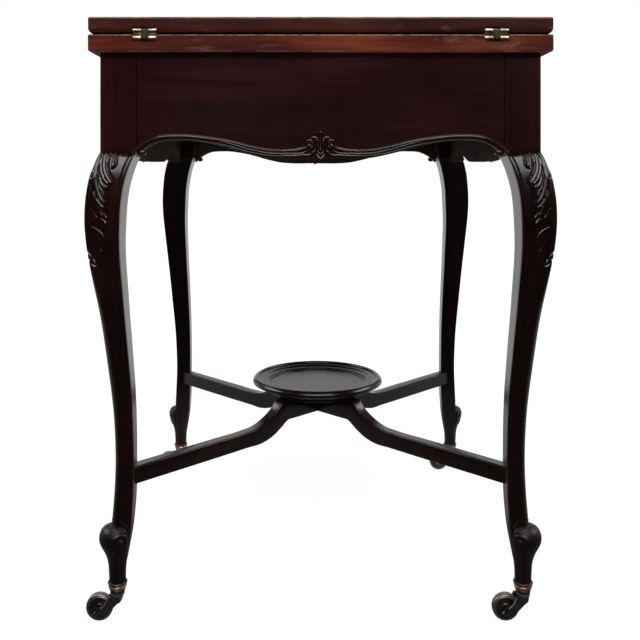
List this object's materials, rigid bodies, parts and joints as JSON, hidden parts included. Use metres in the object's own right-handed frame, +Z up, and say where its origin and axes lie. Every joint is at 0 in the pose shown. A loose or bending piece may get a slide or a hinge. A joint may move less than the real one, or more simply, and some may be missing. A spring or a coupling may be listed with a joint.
{
  "type": "folding card table",
  "caption": "Square envelope card table with hinged triangular flaps on a swivelling top, serpentine frieze, carved cabriole legs on castors and crossed stretchers with a turned dish.",
  "frame": {"origin": "on the floor under the middle of the table", "axes": "+Z up, -Y to the front, +X to the right seen from the front; the castors trail towards -X"},
  "size_m": [0.5735, 0.568, 0.741],
  "materials": {
    "mahogany_top": "french polish, worn",
    "mahogany_frame": "french polish, dark",
    "secondary_wood": "bare",
    "baize": "napped wool",
    "brass": "aged",
    "castor_metal": "dark, worn",
    "steel": "plain"
  },
  "bodies": {
    "frame": {"swivel_bearer": "secondary_wood", "corner_blocks": "secondary_wood", "stretcher_diagonal_a": "mahogany_frame", "stretcher_diagonal_b": "mahogany_frame", "dish": "mahogany_frame", "dish_screws": "steel", "castor_sockets": "brass", "leg_back_right": "mahogany_frame", "leg_back_left": "mahogany_frame", "leg_front_left": "mahogany_frame", "leg_front_right": "mahogany_frame", "rail_front": "mahogany_frame", "rail_right": "mahogany_frame", "rail_back": "mahogany_frame", "rail_left": "mahogany_frame"},
    "top": {"base_leaf": "mahogany_top", "base_baize": "baize", "hinge_base_plates": "brass", "hinge_base_screws": "brass", "pivot_bolt": "steel", "pivot_washer": "steel", "pivot_nut": "steel", "swivel_stop": "secondary_wood"},
    "links_front": {"hinge_links_front": "brass", "hinge_pins_front": "brass"},
    "flap_front": {"flap_front": "mahogany_top", "flap_baize_front": "baize", "hinge_flap_plates_front": "brass", "hinge_flap_screws_front": "brass"},
    "links_right": {"hinge_links_right": "brass", "hinge_pins_right": "brass"},
    "flap_right": {"flap_right": "mahogany_top", "flap_baize_right": "baize", "hinge_flap_plates_right": "brass", "hinge_flap_screws_right": "brass"},
    "links_back": {"hinge_links_back": "brass", "hinge_pins_back": "brass"},
    "flap_back": {"flap_back": "mahogany_top", "flap_baize_back": "baize", "hinge_flap_plates_back": "brass", "hinge_flap_screws_back": "brass"},
    "links_left": {"hinge_links_left": "brass", "hinge_pins_left": "brass"},
    "flap_left": {"flap_left": "mahogany_top", "flap_baize_left": "baize", "hinge_flap_plates_left": "brass", "hinge_flap_screws_left": "brass"},
    "castor_back_right": {"castor_horn_back_right": "castor_metal", "castor_axle_back_right": "castor_metal"},
    "wheel_back_right": {"castor_wheel_back_right": "castor_metal"},
    "castor_back_left": {"castor_horn_back_left": "castor_metal", "castor_axle_back_left": "castor_metal"},
    "wheel_back_left": {"castor_wheel_back_left": "castor_metal"},
    "castor_front_left": {"castor_horn_front_left": "castor_metal", "castor_axle_front_left": "castor_metal"},
    "wheel_front_left": {"castor_wheel_front_left": "castor_metal"},
    "castor_front_right": {"castor_horn_front_right": "castor_metal", "castor_axle_front_right": "castor_metal"},
    "wheel_front_right": {"castor_wheel_front_right": "castor_metal"}
  },
  "joints": [
    {"name": "top_swivel", "type": "hinge", "parent": "frame", "child": "top", "pos_m": [0, 0, 0.6988], "axis": [0, 0, 1], "range_deg": [0, 45]},
    {"name": "link_front", "type": "hinge", "parent": "top", "child": "links_front", "pos_m": [0, -0.27565, 0.7154], "axis": [1, 0, 0], "range_deg": [0, 90]},
    {"name": "flap_front", "type": "hinge", "parent": "links_front", "child": "flap_front", "pos_m": [0, -0.27565, 0.7244], "axis": [1, 0, 0], "range_deg": [0, 90]},
    {"name": "link_right", "type": "hinge", "parent": "top", "child": "links_right", "pos_m": [0.27565, 0, 0.7154], "axis": [0, 1, 0], "range_deg": [0, 90]},
    {"name": "flap_right", "type": "hinge", "parent": "links_right", "child": "flap_right", "pos_m": [0.27565, 0, 0.7244], "axis": [0, 1, 0], "range_deg": [0, 90]},
    {"name": "link_back", "type": "hinge", "parent": "top", "child": "links_back", "pos_m": [0, 0.27565, 0.7154], "axis": [-1, 0, 0], "range_deg": [0, 90]},
    {"name": "flap_back", "type": "hinge", "parent": "links_back", "child": "flap_back", "pos_m": [0, 0.27565, 0.7244], "axis": [-1, 0, 0], "range_deg": [0, 90]},
    {"name": "link_left", "type": "hinge", "parent": "top", "child": "links_left", "pos_m": [-0.27565, 0, 0.7154], "axis": [0, -1, 0], "range_deg": [0, 90]},
    {"name": "flap_left", "type": "hinge", "parent": "links_left", "child": "flap_left", "pos_m": [-0.27565, 0, 0.7244], "axis": [0, -1, 0], "range_deg": [0, 90]},
    {"name": "castor_back_right", "type": "hinge", "parent": "frame", "child": "castor_back_right", "pos_m": [0.251, 0.251, 0.035], "axis": [0, 0, 1], "continuous": true},
    {"name": "wheel_back_right", "type": "hinge", "parent": "castor_back_right", "child": "wheel_back_right", "pos_m": [0.229, 0.251, 0.0165], "axis": [0, 1, 0], "continuous": true},
    {"name": "castor_back_left", "type": "hinge", "parent": "frame", "child": "castor_back_left", "pos_m": [-0.251, 0.251, 0.035], "axis": [0, 0, 1], "continuous": true},
    {"name": "wheel_back_left", "type": "hinge", "parent": "castor_back_left", "child": "wheel_back_left", "pos_m": [-0.273, 0.251, 0.0165], "axis": [0, 1, 0], "continuous": true},
    {"name": "castor_front_left", "type": "hinge", "parent": "frame", "child": "castor_front_left", "pos_m": [-0.251, -0.251, 0.035], "axis": [0, 0, 1], "continuous": true},
    {"name": "wheel_front_left", "type": "hinge", "parent": "castor_front_left", "child": "wheel_front_left", "pos_m": [-0.273, -0.251, 0.0165], "axis": [0, 1, 0], "continuous": true},
    {"name": "castor_front_right", "type": "hinge", "parent": "frame", "child": "castor_front_right", "pos_m": [0.251, -0.251, 0.035], "axis": [0, 0, 1], "continuous": true},
    {"name": "wheel_front_right", "type": "hinge", "parent": "castor_front_right", "child": "wheel_front_right", "pos_m": [0.229, -0.251, 0.0165], "axis": [0, 1, 0], "continuous": true}
  ],
  "couplings": [
    {"joint": "link_front", "follows": "flap_front", "ratio": 1},
    {"joint": "link_right", "follows": "flap_right", "ratio": 1},
    {"joint": "link_back", "follows": "flap_back", "ratio": 1},
    {"joint": "link_left", "follows": "flap_left", "ratio": 1}
  ]
}
